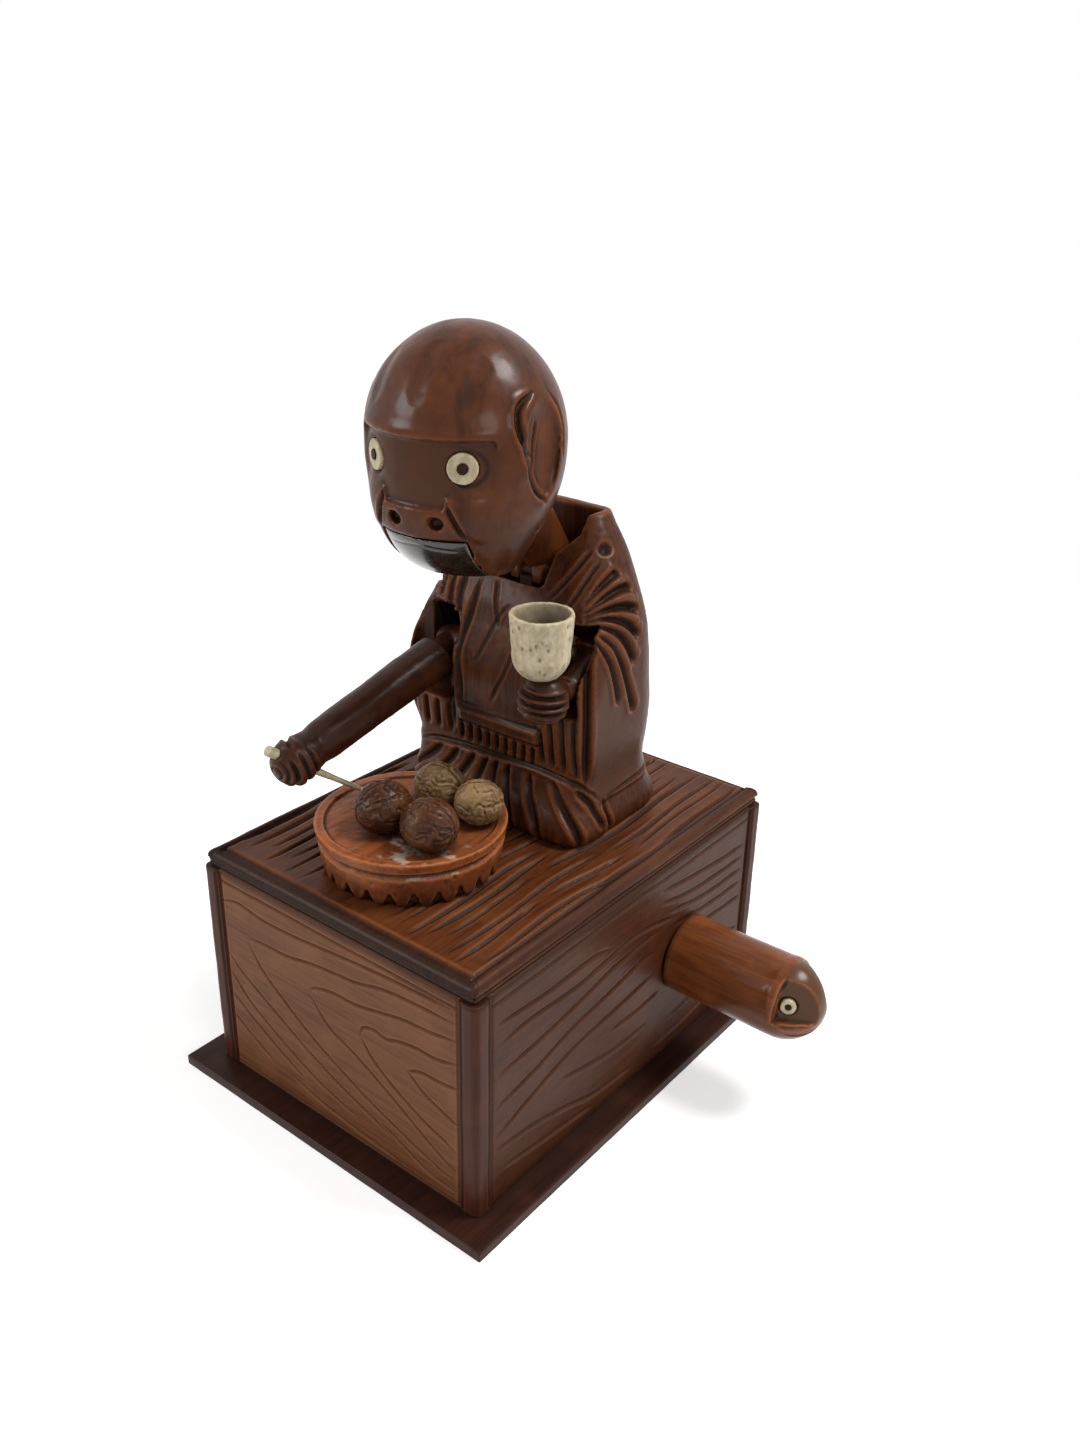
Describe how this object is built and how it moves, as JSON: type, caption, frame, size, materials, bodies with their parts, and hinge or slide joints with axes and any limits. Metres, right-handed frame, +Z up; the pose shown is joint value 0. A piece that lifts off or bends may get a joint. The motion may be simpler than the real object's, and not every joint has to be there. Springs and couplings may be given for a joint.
{
  "type": "wooden crank automaton",
  "caption": "Hand-cranked wooden toy: a kneeling figure on a box; turning the knob lifts its arms with cup and pick, tips back its head and drops its jaw.",
  "frame": {"origin": "centre of the base plate's underside, on the surface that the box stands on", "axes": "+Z up, the figure faces -Y, the knob is on +X"},
  "size_m": [0.0916, 0.088, 0.1274],
  "materials": {
    "base_wood": "satin",
    "panel_wood": "satin",
    "side_wood": "satin",
    "post_wood": "satin",
    "lid_wood": "satin",
    "tray_wood": "satin",
    "knob_wood": "gloss",
    "head_wood": "gloss",
    "robe_wood": "satin",
    "black_lacquer": "gloss",
    "bone": "satin",
    "dark_plug": "satin",
    "dark_nut": "satin",
    "pale_nut": "satin",
    "bamboo": "matte",
    "plain_wood": "matte",
    "brass_nails": "satin"
  },
  "bodies": {
    "box": {"back_panel": "panel_wood", "base_nails": "brass_nails", "base_plate": "base_wood", "bearing_block": "plain_wood", "collar_band": "robe_wood", "figure_dowels": "bamboo", "front_panel": "panel_wood", "lap": "robe_wood", "left_panel": "side_wood", "left_shoulder_pin": "bamboo", "left_sleeve": "robe_wood", "lid_board": "lid_wood", "neck_pin": "dark_plug", "nut_dark_front": "dark_nut", "nut_dark_left": "dark_nut", "nut_pale_back": "pale_nut", "nut_pale_right": "pale_nut", "post_back_left": "post_wood", "post_back_right": "post_wood", "post_front_left": "post_wood", "post_front_right": "post_wood", "right_panel": "side_wood", "right_shoulder_pin": "bamboo", "right_sleeve": "robe_wood", "rod_guide": "plain_wood", "stop_pegs": "bamboo", "torso": "robe_wood", "tray": "tray_wood", "tray_dowel": "bamboo"},
    "crank": {"crank_shaft": "plain_wood", "knob": "knob_wood", "stop_pin": "bamboo", "cam_pins": "bamboo", "right_arm_cam": "plain_wood", "left_arm_cam": "plain_wood", "head_cam": "plain_wood", "knob_eyes": "bone", "knob_pupils": "dark_plug"},
    "right_arm_rod": {"right_arm_rod": "bamboo", "right_arm_foot": "plain_wood"},
    "left_arm_rod": {"left_arm_rod": "bamboo", "left_arm_shoe": "plain_wood"},
    "head_rod": {"head_rod": "bamboo", "head_shoe": "plain_wood"},
    "right_arm": {"right_arm": "head_wood", "right_arm_peg": "bamboo", "pick": "bone"},
    "left_arm": {"left_arm": "head_wood", "left_arm_peg": "bamboo", "cup": "bone"},
    "head": {"head": "head_wood", "neck_post": "head_wood", "neck_peg": "dark_plug", "left_eye": "bone", "right_eye": "bone", "pupils": "dark_plug", "jaw_pin": "dark_plug"},
    "jaw": {"jaw": "black_lacquer"}
  },
  "joints": [
    {"name": "crank_turn", "type": "hinge", "parent": "box", "child": "crank", "pos_m": [0, 0.016, 0.0213], "axis": [1, 0, 0], "range_deg": [0, 120]},
    {"name": "right_arm_rod_slide", "type": "slide", "parent": "box", "child": "right_arm_rod", "axis": [0, 0, -1], "range_m": [0, 0.00383]},
    {"name": "left_arm_rod_slide", "type": "slide", "parent": "box", "child": "left_arm_rod", "axis": [0, 0, 1], "range_m": [0, 0.00208]},
    {"name": "head_rod_slide", "type": "slide", "parent": "box", "child": "head_rod", "axis": [0, 0, 1], "range_m": [0, 0.00113]},
    {"name": "right_arm_lift", "type": "hinge", "parent": "box", "child": "right_arm", "pos_m": [-0.0152, 0.0069, 0.0708], "axis": [-1, 0, 0], "range_deg": [0, 45]},
    {"name": "left_arm_lift", "type": "hinge", "parent": "box", "child": "left_arm", "pos_m": [0.013, 0.013, 0.078], "axis": [-1, 0, 0], "range_deg": [0, 24]},
    {"name": "head_nod", "type": "hinge", "parent": "box", "child": "head", "pos_m": [-0.001, 0.0145, 0.087], "axis": [-1, 0, 0], "range_deg": [0, 13]},
    {"name": "jaw_drop", "type": "hinge", "parent": "head", "child": "jaw", "pos_m": [-0.00198, -0.00441, 0.0992], "axis": [0.9903, 0.1392, 0], "range_deg": [0, 18]}
  ],
  "couplings": [
    {"joint": "right_arm_rod_slide", "follows": "crank_turn", "m_per_rad": 0.0018272},
    {"joint": "left_arm_rod_slide", "follows": "crank_turn", "m_per_rad": 0.0009927},
    {"joint": "head_rod_slide", "follows": "crank_turn", "m_per_rad": 0.00054051},
    {"joint": "right_arm_lift", "follows": "crank_turn", "ratio": 0.375},
    {"joint": "left_arm_lift", "follows": "crank_turn", "ratio": 0.2},
    {"joint": "head_nod", "follows": "crank_turn", "ratio": 0.10833},
    {"joint": "jaw_drop", "follows": "crank_turn", "ratio": 0.15}
  ]
}
